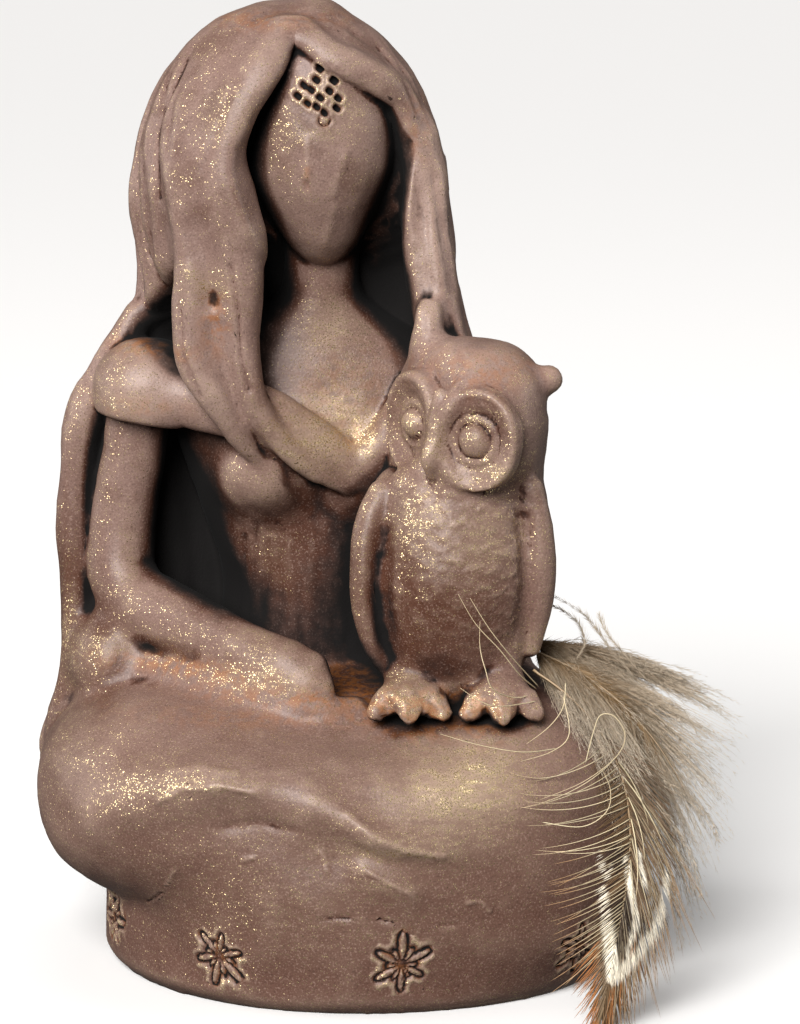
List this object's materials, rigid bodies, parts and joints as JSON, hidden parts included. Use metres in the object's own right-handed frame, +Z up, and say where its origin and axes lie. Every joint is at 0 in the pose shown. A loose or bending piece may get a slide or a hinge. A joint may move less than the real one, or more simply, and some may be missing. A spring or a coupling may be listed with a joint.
{
  "type": "seated woman and owl figurine",
  "caption": "Hand-made ceramic figurine of a seated long-haired woman with a blank face and an owl on her lap, on a low round base, with natural feathers glued beside the owl.",
  "frame": {"origin": "centre of the round base's flat underside", "axes": "+Z up, and the figure looks along -Y, with the owl on its left, at +X"},
  "size_m": [0.105, 0.0829, 0.1405],
  "materials": {
    "clay": "matt mauve-brown fired clay with gold mica rubbed into the hollows",
    "barred_feather": "brown feather with cream bars and rust tips",
    "down": "pale grey-beige down"
  },
  "bodies": {
    "root": {"figurine": "clay", "patterned_feather": "barred_feather", "downy_feather": "down", "upper_feather": "down"}
  },
  "joints": []
}
